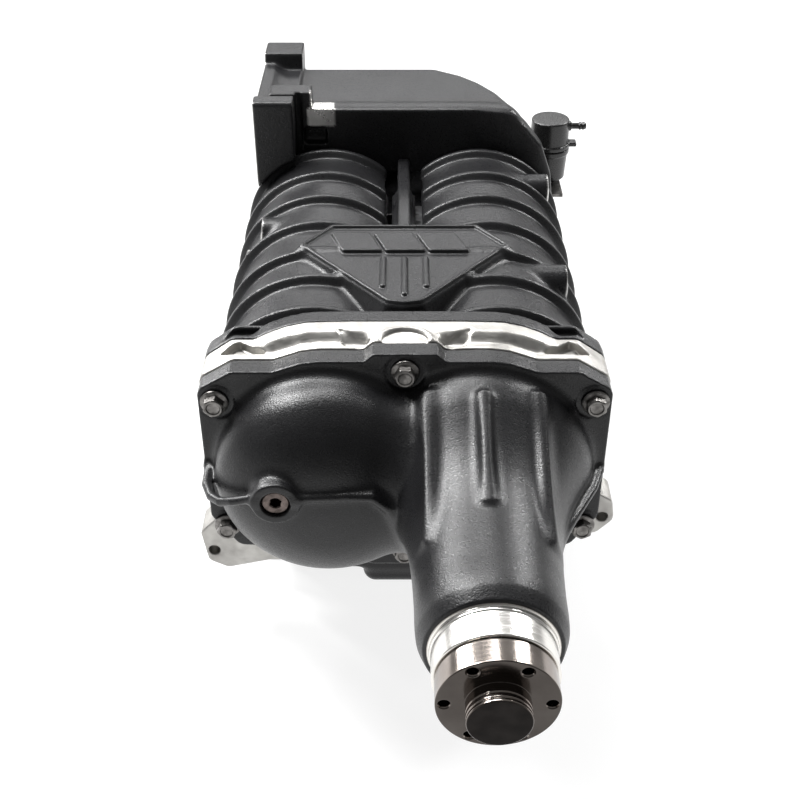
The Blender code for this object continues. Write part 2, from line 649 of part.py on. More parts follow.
def bypass_lever(pivot):
    """A short crank on the shaft's end; its pin works in the actuator rod's slot."""
    lean = -VALVE_SWING / 2
    ends = ((0.0, 0.0075, 90, 270), (LEVER_R, 0.0045, -90, 90))
    outline = []
    for reach, radius, start, end in ends:
        for a, b in arc((reach, 0), radius, start, end, 9):
            outline.append((a * math.cos(lean) - b * math.sin(lean), a * math.sin(lean) + b * math.cos(lean)))
    lever = outline_solid("bypass_lever", outline, "YZ", (0.0960, 0.0995), machined_steel())
    lever.parent = pivot
    pin = rod("lever_pin", "X", (CAN_Y, PIN_Z), (0.0980, 0.1110), 0.0020, 14)
    eye = rod("lever_eye", "X", (VALVE_Y, VALVE_Z), (0.090, 0.110), 0.0040 + GAP, 16)
    ride_on(pivot, pin, eye)
    join(lever, pin)
    cut(lever, eye)


def actuator():
    at = (CAN_X, CAN_Y)
    ring_top, ring_low, low = CAN_TOP - 0.018, CAN_TOP - 0.025, CAN_TOP - 0.046
    upper = rod("actuator_can_upper", "Z", at, (ring_low + 0.0035, CAN_TOP), CAN_R, 28, black_plastic())
    upper_rim = rod("upper_rim", "Z", at, (ring_low + 0.0036, ring_top), CAN_R + 0.0012, 28)
    barb = rod("vacuum_barb", "X", (CAN_Y, CAN_TOP - 0.006), (CAN_X, BARB_TIP), 0.0026, 12)
    barb_lip = rod("barb_lip", "X", (CAN_Y, CAN_TOP - 0.006), (BARB_TIP - 0.004, BARB_TIP - 0.0015), 0.0034, 12)
    join(upper, upper_rim, barb, barb_lip)
    cut(upper, rod("upper_hollow", "Z", at, (ring_low - 0.01, CAN_TOP - 0.0025), CAN_R - 0.002, 28),
        rod("barb_hole", "X", (CAN_Y, CAN_TOP - 0.006), (CAN_X, BARB_TIP + 0.01), 0.0013, 8))
    lower = rod("actuator_can_lower", "Z", at, (low, ring_low + 0.0001), CAN_R, 28, black_plastic())
    lower_rim = rod("lower_rim", "Z", at, (ring_low - 0.001, ring_low + 0.0032), CAN_R + 0.0012, 28)
    knob = rod("can_knob", "Z", at, (low - 0.004, low + 0.002), 0.0060, 20)
    join(lower, lower_rim, knob)
    cut(lower, rod("lower_hollow", "Z", at, (low + 0.0025, ring_top), CAN_R - 0.002, 28),
        rod("rod_hole", "Z", at, (low - 0.02, low + 0.01), 0.0028, 14))
    stem = rod("actuator_rod", "Z", at, (PIN_Z + 0.004, low + 0.010), 0.0023, 14, machined_steel())
    fork = block("rod_fork", (CAN_X - 0.002, CAN_X + 0.002), (CAN_Y - 0.0065, CAN_Y + 0.0100),
                 (PIN_Z - 0.0065, PIN_Z + 0.0065))
    slot = block("fork_slot", (CAN_X - 0.01, CAN_X + 0.01), (CAN_Y - 0.0030, CAN_Y + 0.0068),
                 (PIN_Z - 0.0026, PIN_Z + 0.0026))
    join(stem, fork)
    cut(stem, slot)
    rod("actuator_diaphragm", "Z", at, (low + 0.0103, low + 0.0128), CAN_R - 0.0030, 24, seal_rubber())
    bracket = block("actuator_bracket", (0.084, CAN_X + 0.010), (0.312, CAN_Y + 0.010), (0.0083, 0.0107),
                    dark_steel())
    cut(bracket, rod("bracket_hole", "Z", at, (0, 0.02), 0.0064, 20),
        rod("bracket_screw_hole", "Z", (0.090, 0.321), (0, 0.02), 0.0024, 10))
    screw = rod("bracket_screw", "Z", (0.090, 0.321), (-0.0025, 0.0125), 0.0020, 12, dark_steel())
    join(screw, rod("bracket_screw_head", "Z", (0.090, 0.321), (0.0110, 0.0140), 0.0040, 6))


# ---- assembly -----------------------------------------------------------------------------------
def move_to_row_frame():
    for made in bpy.data.objects:
        if made.parent is None:
            made.location -= ORIGIN


def main():
    rotor_housing()
    bearing_plate()
    front_cover()
    cover_bolts()
    oil_fill_plug()
    dowel_pins()
    rotating_set()
    input_drive()
    inlet_elbow()
    bypass_valve()
    actuator()
    move_to_row_frame()


main()
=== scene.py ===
"""The looks of a twin-rotor supercharger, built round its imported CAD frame.

The castings are made as distance fields, so that their fillets run into each other as cast metal does,
and are turned into meshes. Turned and machined pieces are profiles turned about their axes. Field sizes
are in millimetres from the case datum: x from midway between the rotors, y from the cover flange's seat
plane, z from the rotor axes. DATUM takes them to the frame.
"""
import json
import math

import bmesh
import bpy
import numpy as np
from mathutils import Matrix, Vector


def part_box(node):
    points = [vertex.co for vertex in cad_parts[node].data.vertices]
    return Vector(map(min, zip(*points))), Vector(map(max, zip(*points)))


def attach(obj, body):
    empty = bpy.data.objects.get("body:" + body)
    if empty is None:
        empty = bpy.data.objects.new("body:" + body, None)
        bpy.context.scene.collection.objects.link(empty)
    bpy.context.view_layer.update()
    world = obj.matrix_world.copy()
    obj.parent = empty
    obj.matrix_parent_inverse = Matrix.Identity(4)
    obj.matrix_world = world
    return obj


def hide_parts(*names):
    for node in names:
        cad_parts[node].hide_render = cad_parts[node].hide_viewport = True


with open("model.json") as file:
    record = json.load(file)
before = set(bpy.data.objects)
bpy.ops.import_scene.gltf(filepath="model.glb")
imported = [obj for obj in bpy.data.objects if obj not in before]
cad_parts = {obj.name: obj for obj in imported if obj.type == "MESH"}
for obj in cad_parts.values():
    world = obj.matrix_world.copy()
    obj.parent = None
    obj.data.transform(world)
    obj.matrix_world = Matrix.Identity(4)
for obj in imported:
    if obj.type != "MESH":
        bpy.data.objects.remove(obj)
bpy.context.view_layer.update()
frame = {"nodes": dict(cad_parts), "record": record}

import openvdb
from mathutils import Matrix, Vector

MM = 0.001
GEAR_FRONT = -15             # the rotor shafts start at the gears' front faces


def case_datum():
    drive_low, drive_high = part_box("drive_rotor_shaft")
    driven_low, driven_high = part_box("driven_rotor_shaft")
    middle = (drive_low + drive_high + driven_low + driven_high) / 4
    return Vector((middle.x, drive_low.y - GEAR_FRONT * MM, middle.z))


DATUM = case_datum()
BASE_Z = -DATUM.z / MM       # the plane that the unit stands on, in millimetres below the rotor axes
SHAFT_X = (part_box("drive_rotor_shaft")[0].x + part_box("drive_rotor_shaft")[1].x) / 2 / MM - DATUM.x / MM


def place(x, y, z):
    return DATUM + Vector((x, y, z)) * MM


# ---- distance fields ----------------------------------------------------------------------------
class Space:
    """A block of sample points: x, y and z broadcast against each other."""

    def __init__(self, low, high, step):
        axes = [np.arange(a, b + step, step, dtype=np.float32) for a, b in zip(low, high)]
        self.low = np.array([axis[0] for axis in axes])
        self.step = step
        self.x, self.y, self.z = np.meshgrid(*axes, indexing="ij", sparse=True)


def melt(a, b, size):
    """Union of two fields with a fillet."""
    near = np.maximum(size - np.abs(a - b), 0)
    return np.minimum(a, b) - near * near / (4 * size)


def carve(a, b, size=0.0):
    """Field a with b cut away, the edge rounded by size."""
    if size == 0:
        return np.maximum(a, -b)
    return -melt(-a, b, size)


def both(a, b, size):
    """Intersection with a rounded edge."""
    return -melt(-a, -b, size)


def slab(field, at, low, high, rounding=0.0):
    """A flat outline's field thickened between two limits on another axis, with rounded edges."""
    depth = np.abs(at - (low + high) / 2) - (high - low) / 2
    a, b = field + rounding, depth + rounding
    return np.minimum(np.maximum(a, b), 0) + np.hypot(np.maximum(a, 0), np.maximum(b, 0)) - rounding


def brick(s, x, y, z, rounding=0.0):
    sides = [np.abs(v - (a + b) / 2) - (b - a) / 2 + rounding for v, (a, b) in ((s.x, x), (s.y, y), (s.z, z))]
    outside = np.sqrt(sum(np.maximum(side, 0) ** 2 for side in sides))
    inside = np.minimum(np.maximum(np.maximum(sides[0], sides[1]), sides[2]), 0)
    return outside + inside - rounding


def disc_x(s, y, z, radius):
    return np.hypot(s.y - y, s.z - z) - radius


def disc_y(s, x, z, radius):
    return np.hypot(s.x - x, s.z - z) - radius


def disc_z(s, x, y, radius):
    return np.hypot(s.x - x, s.y - y) - radius


def outline(u, v, points):
    """Signed distance to a closed outline in the plane of u and v."""
    best = np.full(np.broadcast(u, v).shape, 1e9, np.float32)
    inside = np.zeros(best.shape, bool)
    for (ax, ay), (bx, by) in zip(points, points[1:] + points[:1]):
        ex, ey = bx - ax, by - ay
        wx, wy = u - ax, v - ay
        along = np.clip((wx * ex + wy * ey) / (ex * ex + ey * ey), 0, 1)
        best = np.minimum(best, (wx - ex * along) ** 2 + (wy - ey * along) ** 2)
        crosses = (ay > v) != (by > v)
        inside ^= crosses & (u < ex * (v - ay) / (ey if ey else 1e-9) + ax)
    return np.where(inside, -1, 1) * np.sqrt(best)


def rounded(corners, steps=12):
    """An outline whose corners are (u, v, radius), each turned into an arc."""
    points = []
    count = len(corners)
    for i, (x, y, radius) in enumerate(corners):
        here = Vector((x, y))
        back = Vector(corners[i - 1][:2]) - here
        ahead = Vector(corners[(i + 1) % count][:2]) - here
        angle = back.angle(ahead)
        reach = min(radius / math.tan(angle / 2), 0.49 * back.length, 0.49 * ahead.length) if radius else 0
        if reach < 0.01:
            points.append((x, y))
            continue
        start, end = here + back.normalized() * reach, here + ahead.normalized() * reach
        for n in range(steps + 1):
            t = n / steps
            spot = start * (1 - t) ** 2 + here * 2 * t * (1 - t) + end * t ** 2
            points.append((spot.x, spot.y))
    return points


def horn(s, x, z, stations):
    """A body turned about an axis along y, its radius running smoothly through (y, radius) stations."""
    ys, radii = np.array(sorted(stations), dtype=np.float32).T
    radius = smooth_curve(s.y, ys, radii)
    slope = smooth_curve(s.y + 0.5, ys, radii) - smooth_curve(s.y - 0.5, ys, radii)
    return (np.hypot(s.x - x, s.z - z) - radius) / np.sqrt(1 + np.clip(slope, -1.2, 1.2) ** 2)


def smooth_curve(at, xs, ys):
    """A monotone cubic through the points (xs, ys)."""
    widths = np.diff(xs)
    grads = np.diff(ys) / widths
    tangents = np.concatenate([[grads[0]], (grads[:-1] + grads[1:]) / 2, [grads[-1]]])
    flat = np.concatenate([[False], grads[:-1] * grads[1:] <= 0, [False]])
    tangents[flat] = 0
    i = np.clip(np.searchsorted(xs, at) - 1, 0, len(widths) - 1)
    t = np.clip((at - xs[i]) / widths[i], 0, 1)
    h = widths[i]
    return ((1 + 2 * t) * (1 - t) ** 2 * ys[i] + t * (1 - t) ** 2 * h * tangents[i]
            + t * t * (3 - 2 * t) * ys[i + 1] + t * t * (t - 1) * h * tangents[i + 1])


def bead(s, points, radii):
    """A round ridge along a chain of points; radii gives its half-width at each."""
    best = None
    for (a, ra), (b, rb) in zip(zip(points, radii), zip(points[1:], radii[1:])):
        e = [q - p for p, q in zip(a, b)]
        w = (s.x - a[0], s.y - a[1], s.z - a[2])
        t = np.clip(sum(p * q for p, q in zip(w, e)) / sum(p * p for p in e), 0, 1)
        d = np.sqrt(sum((p - q * t) ** 2 for p, q in zip(w, e))) - (ra + (rb - ra) * t)
        best = d if best is None else np.minimum(best, d)
    return best


def sample(field, s, points):
    """The field's value at points, read between its samples."""
    at = (points - s.low) / s.step
    top = np.array(field.shape) - 2
    i = np.clip(at.astype(int), 0, top)
    f = np.clip(at - i, 0, 1)
    total = 0
    for dx in (0, 1):
        for dy in (0, 1):
            for dz in (0, 1):
                share = (f[:, 0] if dx else 1 - f[:, 0]) * (f[:, 1] if dy else 1 - f[:, 1])
                share = share * (f[:, 2] if dz else 1 - f[:, 2])
                total = total + share * field[i[:, 0] + dx, i[:, 1] + dy, i[:, 2] + dz]
    return total


def slopes(field, s, points):
    gap = s.step * 0.6
    parts = []
    for axis in range(3):
        move = np.zeros(3)
        move[axis] = gap
        parts.append(sample(field, s, points + move) - sample(field, s, points - move))
    grad = np.stack(parts, 1)
    return grad / np.maximum(np.linalg.norm(grad, axis=1, keepdims=True), 1e-9)


def cast(name, s, field, material, bare_or_shade=None):
    """Turns a field into a mesh piece. The last argument is a field that marks faces where it is below zero:
    machined metal on the castings, and faces that get painted shade on the turned pieces.
    """
    field = np.array(np.broadcast_to(field, np.broadcast(s.x, s.y, s.z).shape), np.float32)
    grid = openvdb.FloatGrid()
    grid.background = 10.0
    grid.copyFromArray(field)
    points, triangles, quads = grid.convertToPolygons(isovalue=0.0, adaptivity=0.0)
    points = points.astype(np.float64) * s.step + s.low
    normals = slopes(field, s, points)
    points = points - normals * np.clip(sample(field, s, points), -0.3, 0.3)[:, None]
    mesh = bpy.data.meshes.new(name)
    corners = np.concatenate([triangles.ravel(), quads.ravel()]).astype(np.int32)
    sizes = np.concatenate([np.full(len(triangles), 3), np.full(len(quads), 4)]).astype(np.int32)
    mesh.vertices.add(len(points))
    mesh.vertices.foreach_set("co", (points * MM + np.array(DATUM)).astype(np.float32).ravel())
    mesh.loops.add(len(corners))
    mesh.loops.foreach_set("vertex_index", corners)
    mesh.polygons.add(len(sizes))
    mesh.polygons.foreach_set("loop_start", np.concatenate([[0], np.cumsum(sizes)[:-1]]).astype(np.int32))
    mesh.polygons.foreach_set("loop_total", sizes)
    mesh.update(calc_edges=True)
    mesh.validate()
    mesh.shade_smooth()
    mesh.normals_split_custom_set_from_vertices(normals)
    if bare_or_shade is not None:
        bare_or_shade = np.broadcast_to(bare_or_shade, field.shape)
        tone = mesh.attributes.new("bare_or_shade", "FLOAT", "POINT")
        tone.data.foreach_set("value", np.clip(0.5 - sample(bare_or_shade, s, points) / 0.5, 0, 1).astype(np.float32))
    mesh.materials.append(material)
    piece = bpy.data.objects.new(name, mesh)
    bpy.context.scene.collection.objects.link(piece)
    print(name, len(sizes), "faces")
    return piece


# ---- materials ----------------------------------------------------------------------------------
class Nodes:
    """A material's node tree, with short calls for the few nodes used here."""

    def __init__(self, name):
        self.material = bpy.data.materials.new(name)
        self.material.use_nodes = True
        self.tree = self.material.node_tree
        self.shader = self.tree.nodes["Principled BSDF"]
        self.place = self.add("ShaderNodeTexCoord").outputs["Object"]

    def add(self, kind, **values):
        node = self.tree.nodes.new(kind)
        for key, value in values.items():
            setattr(node, key, value)
        return node

    def link(self, source, target):
        self.tree.links.new(source, target)

    def noise(self, scale, detail=2.0, stretch=None):
        node = self.add("ShaderNodeTexNoise")
        node.inputs["Scale"].default_value = scale
        node.inputs["Detail"].default_value = detail
        source = self.place
        if stretch:
            mapping = self.add("ShaderNodeMapping")
            mapping.inputs["Scale"].default_value = stretch
            self.link(self.place, mapping.inputs["Vector"])
            source = mapping.outputs["Vector"]
        self.link(source, node.inputs["Vector"])
        return node.outputs["Fac"]

    def ramp(self, source, low, high, start, end):
        node = self.add("ShaderNodeMapRange")
        for key, value in zip(("From Min", "From Max", "To Min", "To Max"), (low, high, start, end)):
            node.inputs[key].default_value = value
        self.link(source, node.inputs["Value"])
        return node.outputs["Result"]

    def colours(self, source, stops):
        node = self.add("ShaderNodeValToRGB")
        ramp = node.color_ramp
        while len(ramp.elements) < len(stops):
            ramp.elements.new(0.5)
        for element, (spot, colour) in zip(ramp.elements, stops):
            element.position = spot
            element.color = (*colour, 1)
        self.link(source, node.inputs["Fac"])
        return node.outputs["Color"]

    def bump(self, height, strength, distance, below=None):
        node = self.add("ShaderNodeBump")
        node.inputs["Strength"].default_value = strength
        node.inputs["Distance"].default_value = distance
        self.link(height, node.inputs["Height"])
        if below:
            self.link(below, node.inputs["Normal"])
        return node.outputs["Normal"]

    def show_where_marked(self, second):
        """Shows a second shader on the faces that the piece marks."""
        mark = self.add("ShaderNodeAttribute", attribute_name="bare_or_shade")
        blend = self.add("ShaderNodeMixShader")
        self.link(mark.outputs["Fac"], blend.inputs[0])
        self.link(self.shader.outputs[0], blend.inputs[1])
        self.link(second.outputs[0], blend.inputs[2])
        self.link(blend.outputs[0], self.tree.nodes["Material Output"].inputs["Surface"])


def set_inputs(shader, **values):
    for key, value in values.items():
        shader.inputs[key.replace("_", " ")].default_value = value


def bare_metal_on(nodes, shader, colours, rough, grain):
    """Bare cast or machined aluminium: cloudy colour, fine tool marks and small pits."""
    cloud = nodes.noise(60, 5)
    nodes.link(nodes.colours(cloud, [(0.3, colours[0]), (0.7, colours[1])]), shader.inputs["Base Color"])
    streak = nodes.noise(900, 3, stretch=(0.25, 1, 0.25))
    nodes.link(nodes.ramp(streak, 0.3, 0.7, rough[0], rough[1]), shader.inputs["Roughness"])
    set_inputs(shader, Metallic=1.0)
    marks = nodes.bump(streak, 0.10, 0.0002)
    nodes.link(nodes.bump(nodes.noise(grain, 2), 0.30, 0.0004, marks), shader.inputs["Normal"])


def powder_coat():
    """Satin black powder coat: fine orange-peel grain that sparkles in the light, bare where machined."""
    nodes = Nodes("powder_coat")
    shader = nodes.shader
    cloud = nodes.noise(35, 4)
    nodes.link(nodes.colours(cloud, [(0.3, (0.0060, 0.0060, 0.0066)), (0.75, (0.0125, 0.0125, 0.0135))]),
               shader.inputs["Base Color"])
    grain = nodes.noise(1300, 2.5)
    nodes.link(nodes.ramp(grain, 0.35, 0.65, 0.26, 0.42), shader.inputs["Roughness"])
    set_inputs(shader, Specular_IOR_Level=0.36)
    peel = nodes.bump(nodes.noise(380, 3), 0.14, 0.0006)
    nodes.link(nodes.bump(grain, 0.36, 0.0005, peel), shader.inputs["Normal"])
    bare_or_shade = nodes.add("ShaderNodeBsdfPrincipled")
    bare_metal_on(nodes, bare_or_shade, ((0.55, 0.54, 0.52), (0.76, 0.75, 0.73)), (0.22, 0.38), 700)
    nodes.show_where_marked(bare_or_shade)
    return nodes.material


def painted_shade_where_marked(nodes, low, high):
    """Makes the faces that the piece marks a darker copy of the polished metal: painted shade."""
    painted_shade = nodes.add("ShaderNodeBsdfPrincipled")
    nodes.link(nodes.colours(nodes.noise(120, 4), [(0.3, low), (0.7, high)]), painted_shade.inputs["Base Color"])
    nodes.link(nodes.ramp(nodes.noise(500, 3), 0.3, 0.7, 0.07, 0.14), painted_shade.inputs["Roughness"])
    set_inputs(painted_shade, Metallic=1.0)
    nodes.show_where_marked(painted_shade)


def cast_aluminium():
    nodes = Nodes("bare_casting")
    bare_metal_on(nodes, nodes.shader, ((0.32, 0.31, 0.295), (0.52, 0.51, 0.485)), (0.38, 0.56), 420)
    return nodes.material


def turned_metal(name, low, high, rough, rings, painted_shade):
    """Lathe-turned metal: fine rings round the drive axis, and a darker copy of the metal, painted shade,
    where the piece is marked.
    """
    nodes = Nodes(name)
    shader = nodes.shader
    cloud = nodes.noise(45, 4)
    nodes.link(nodes.colours(cloud, [(0.25, low), (0.75, high)]), shader.inputs["Base Color"])
    streak = nodes.noise(rings, 3, stretch=(0.02, 1, 0.02))
    nodes.link(nodes.ramp(streak, 0.3, 0.7, rough[0], rough[1]), shader.inputs["Roughness"])
    set_inputs(shader, Metallic=1.0)
    nodes.link(nodes.bump(streak, 0.06, 0.0001), shader.inputs["Normal"])
    painted_shade_where_marked(nodes, *painted_shade)
    return nodes.material


def worn_steel(name, low, high, rough):
    """Plated or phosphated steel of screws and small parts, blotched by handling."""
    nodes = Nodes(name)
    shader = nodes.shader
    cloud = nodes.noise(260, 5)
    nodes.link(nodes.colours(cloud, [(0.3, low), (0.7, high)]), shader.inputs["Base Color"])
    nodes.link(nodes.ramp(nodes.noise(800, 3), 0.3, 0.7, rough[0], rough[1]), shader.inputs["Roughness"])
    set_inputs(shader, Metallic=1.0)
    nodes.link(nodes.bump(nodes.noise(1500, 2), 0.12, 0.0002), shader.inputs["Normal"])
    return nodes.material


def moulded(name, tone, rough):
    """Black moulded plastic or rubber with a fine matt grain."""
    nodes = Nodes(name)
    shader = nodes.shader
    cloud = nodes.noise(90, 3)
    nodes.link(nodes.colours(cloud, [(0.3, (tone * 0.7,) * 3), (0.7, (tone * 1.3,) * 3)]),
               shader.inputs["Base Color"])
    grain = nodes.noise(1200, 2)
    nodes.link(nodes.ramp(grain, 0.3, 0.7, rough - 0.06, rough + 0.06), shader.inputs["Roughness"])
    nodes.link(nodes.bump(nodes.noise(1800, 2), 0.15, 0.0002), shader.inputs["Normal"])
    return nodes.material


BLACK = powder_coat()
ALUMINIUM = cast_aluminium()
# The register's second colour pair is painted shade: a deep brown copy of the metal for its front ring face.
REGISTER = turned_metal("register_metal", (0.74, 0.72, 0.68), (0.92, 0.90, 0.87), (0.16, 0.30), 2600,
                        ((0.10, 0.085, 0.06), (0.20, 0.17, 0.13)))
# The hub's second colour pair is painted shade: its flat front faces are coloured near black, standing in for
# the unlit surroundings these faces reflect.
HUB = turned_metal("hub_steel", (0.22, 0.19, 0.17), (0.40, 0.36, 0.33), (0.10, 0.22), 3200,
                   ((0.006, 0.005, 0.0045), (0.014, 0.012, 0.011)))
BOLT = worn_steel("bolt_steel", (0.10, 0.095, 0.09), (0.26, 0.25, 0.24), (0.26, 0.46))
PLUG = worn_steel("plug_steel", (0.06, 0.05, 0.045), (0.16, 0.13, 0.12), (0.22, 0.42))
STEEL = worn_steel("plain_steel", (0.35, 0.34, 0.33), (0.55, 0.54, 0.52), (0.22, 0.40))
ROTOR = worn_steel("rotor_coat", (0.42, 0.42, 0.43), (0.60, 0.60, 0.61), (0.30, 0.45))
PLASTIC = moulded("black_plastic", 0.012, 0.26)
RUBBER = moulded("seal_rubber", 0.012, 0.65)


# ---- shared forms -------------------------------------------------------------------------------
FLANGE_REAR = 12
PLATE = (FLANGE_REAR + 0.3, 31.7)
CASE_FRONT = 32.3
CASE_REAR = 284
BOLTS = {
    "upper_left": (-100, 42.75), "upper_right": (100, 42.75), "lower_left": (-100, -42.75),
    "lower_right": (100, -42.75), "top": (0, 61.6), "bottom": (0, -61.6)}
ELBOW_BOLTS = {"right": (98, 15), "left": (-80, -40), "lower_right": (12, -66), "lower_left": (-60, -66)}
BOLT_HOLE_R = 3.4
ELBOW_BOLT_SEAT = 296
PLUG_X, PLUG_Z = -66, 12
SNOUT_FRONT = -134.2
HUB_FACE = -165
NOSE_TIP = -175.35


def mirrored(corners):
    return corners + [(-x, z, r) for x, z, r in reversed(corners)]


LOWER_EDGE = [(109, 47, 4), (109, -37, 7), (94.5, -58.6, 7), (34, -62, 9), (20, -73.5, 6)]


def flange_form(s):
    """Front view of the cover's flange: a low arch between corner plateaus, a boss at the middle."""
    return outline(s.x, s.z, rounded(mirrored([
        (16.5, 72.2, 3), (21, 67.8, 3), (45, 67.8, 14), (54.5, 66.5, 12), (69, 61.2, 7), (90.5, 61.2, 5),
        (107, 51, 4)] + LOWER_EDGE)))


def case_form(s):
    """Front view of the case's flange: one broad arch between the corner plateaus."""
    return outline(s.x, s.z, rounded(mirrored([
        (30, 72.6, 20), (52, 72, 20), (63, 69.5, 14), (72, 66, 14), (81, 61.2, 6), (92.5, 61.2, 6),
        (107, 51, 6)] + LOWER_EDGE)))


# ---- gear cover and snout -----------------------------------------------------------------------
def front_cover():
    s = Space((-113, -137, -77), (113, 14, 77), 0.9)
    body = slab(flange_form(s), s.y, 0, FLANGE_REAR, 0.8)
    dome = horn(s, -42, 0, [(14, 62), (0, 61), (-8, 60), (-14, 59), (-20, 56.6), (-25, 53), (-30, 48.2),
                            (-35, 41.5), (-39, 34), (-42, 26), (-44, 17), (-45, 8), (-60, 1)])
    dome = both(dome, -45 - s.y, 3)
    horn_stations = [(14, 63), (0, 62), (-8, 60.8), (-16, 58), (-24, 54), (-32, 50), (-42, 45.6), (-54, 41.6),
                     (-68, 38.8), (-84, 37.2), (-104, 36.2), (-125.5, 35.5), (-127, 35.2), (-134, 32.6)]
    snout = both(horn(s, SHAFT_X, 0, horn_stations), SNOUT_FRONT - s.y, 0.4)
    humps = melt(dome, snout, 16)
    body = melt(body, humps, 7)
    for x, y_top, z_top, y_end, z_end in ((11.5, -9, 55, -86, 23), (SHAFT_X, -16, 61, -74, 39),
                                          (69.5, -10, 55, -86, 23)):
        fin = outline(s.y, s.z, [(y_top, z_top), (y_end, z_end), (y_end + 3, 0), (y_top, 0)])
        body = melt(body, slab(fin, s.x, x - 2.6, x + 2.6, 2.2), 7)
    web = outline(s.x, s.y, [(105, 4), (108.4, -3), (103, -18), (90.5, -41), (77, -67), (60, -60), (60, 4)])
    body = melt(body, slab(web, s.z, -3.4, 0.6, 1.6), 4)
    ledge = [(-106.5, -2, 0), (-106, -16, 0), (-102, -27, 1), (-96, -35, 4), (-89, -40, 8.5),
             (-80, -43, 12.5), (-66, -44.5, 13), (-50, -44.5, 14.5), (-30, -44.5, 15.5), (-17, -43.5, 14.5),
             (-8, -42, 6), (-1, -39, -8), (4, -36, -20), (8, -30, -34)]
    widths = [2.4, 2.6, 2.6, 2.5, 2.4, 2.3, 2.3, 2.4, 2.6, 2.8, 3.2, 3.8, 4.2, 4.4]
    body = melt(body, bead(s, ledge, widths), 5)
    boss = slab(disc_y(s, PLUG_X, PLUG_Z, 12.6), s.y, -47.2, -20, 1.2)
    body = melt(body, boss, 4)
    for x, z in BOLTS.values():
        body = carve(body, slab(disc_y(s, x, z, 10.2), s.y, -30, 0), 1.2)
        body = carve(body, disc_y(s, x, z, BOLT_HOLE_R))
    body = np.maximum(body, s.y - FLANGE_REAR)
    gear_rooms = [slab(disc_y(s, side * SHAFT_X, 0, 45), s.y, -30, 40) for side in (-1, 1)]
    body = carve(body, melt(*gear_rooms, 1))
    body = carve(body, disc_y(s, SHAFT_X, 0, 21.3))
    body = carve(body, slab(disc_y(s, PLUG_X, PLUG_Z, 7.7), s.y, -60, -44.2, 0), 0.5)
    body = carve(body, slab(disc_y(s, PLUG_X, PLUG_Z, 6.0), s.y, -60, -20, 0))
    piece = cast("cover_casting", s, body, BLACK)
    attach(piece, "case")
    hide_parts("front_cover")


# ---- bearing plate ------------------------------------------------------------------------------
PLATE_LUGS = [
    (109.4, -20, 4), (109.4, -30, 4), (119, -36, 6), (121, -50, 7), (112, -60, 6), (90, -66, 10),
    (50, -82, 12), (-80, -82, 8), (-105, -88, 5), (-116, -82, 5), (-119, -60, 5), (-109.4, -50, 6),
    (-109.4, -20, 4)]


def bearing_plate():
    """Bare cast plate: its top edge rises from the cover's outline to the case's arch, with cast pockets."""
    s = Space((-124, PLATE[0] - 2, -94), (124, PLATE[1] + 2, 78), 0.9)
    rise = np.clip((s.y - 17) / 6, 0, 1)
    rise = rise * rise * (3 - 2 * rise)
    edge = (flange_form(s) - 0.5) * (1 - rise) + (case_form(s) - 0.4) * rise
    lugs = outline(s.x, s.z, rounded(PLATE_LUGS))
    body = slab(np.minimum(edge, lugs), s.y, *PLATE, 0.7)
    depth = np.maximum(-edge - 2.6, 20 - s.z)
    for side in (-1, 1):
        corner = rounded([(72, 17.5, 1), (91, 17.5, 1.5), (99, 23, 1), (88, 29, 1)])
        dip = rounded([(17, 16, 3), (24, 13.5, 3), (31, 15, 4), (37, 26, 3)])
        body = carve(body, both(outline(s.x * side, s.y, corner), depth - 2.4, 0.4), 0.7)
        body = carve(body, both(outline(s.x * side, s.y, dip), depth + 0.8, 1.5), 1.8)
    centre = np.hypot(s.x, (s.y - 14) * 1.3)
    arc = both(np.abs(centre - 14) - 0.9, np.maximum(edge - 0.9, 40 - s.z), 0.5)
    body = melt(body, arc + np.maximum(14 - s.y, 0), 1.0)
    body = carve(body, both(centre - 12, depth + 1.0, 0.8), 0.8)
    for side in (-1, 1):
        body = carve(body, disc_y(s, side * SHAFT_X, 0, 14.3))
        body = carve(body, slab(disc_y(s, side * SHAFT_X, 0, 17.8), s.y, 0, 23.3))
        body = carve(body, disc_y(s, side * 104, 0, 2.3))
    for x, z in BOLTS.values():
        body = carve(body, disc_y(s, x, z, BOLT_HOLE_R))
    for x, z in ((114, -48), (-112, -74)):
        body = carve(body, disc_y(s, x, z, 3.3), 0.6)
    body = np.maximum(body, np.maximum(PLATE[0] - s.y, s.y - PLATE[1]))
    piece = cast("plate_casting", s, body, ALUMINIUM)
    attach(piece, "case")
    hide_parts("bearing_plate")


# ---- rotor case ---------------------------------------------------------------------------------
RIBS = (62, 97.5, 128, 165, 202, 237, 272.6)
LOBE_X, LOBE_Z, LOBE_R = 52, 4, 55.5
RIB_RISE = 4.5


def ribbed_barrels(s):
    """Both barrels with their narrow round-backed ribs."""
    wave = 0
    for y in RIBS:
        away = np.clip((np.abs(s.y - y) - 1.2) / 4.2, 0, 1)
        wave = wave + 1 - away * away * (3 - 2 * away)
    barrels = None
    for side in (-1, 1):
        radius = np.hypot(s.x - side * LOBE_X, s.z - LOBE_Z)
        barrel = radius - LOBE_R - RIB_RISE * wave
        barrels = barrel if barrels is None else melt(barrels, barrel, 6)
    return barrels


BADGE_TOP = 65.5


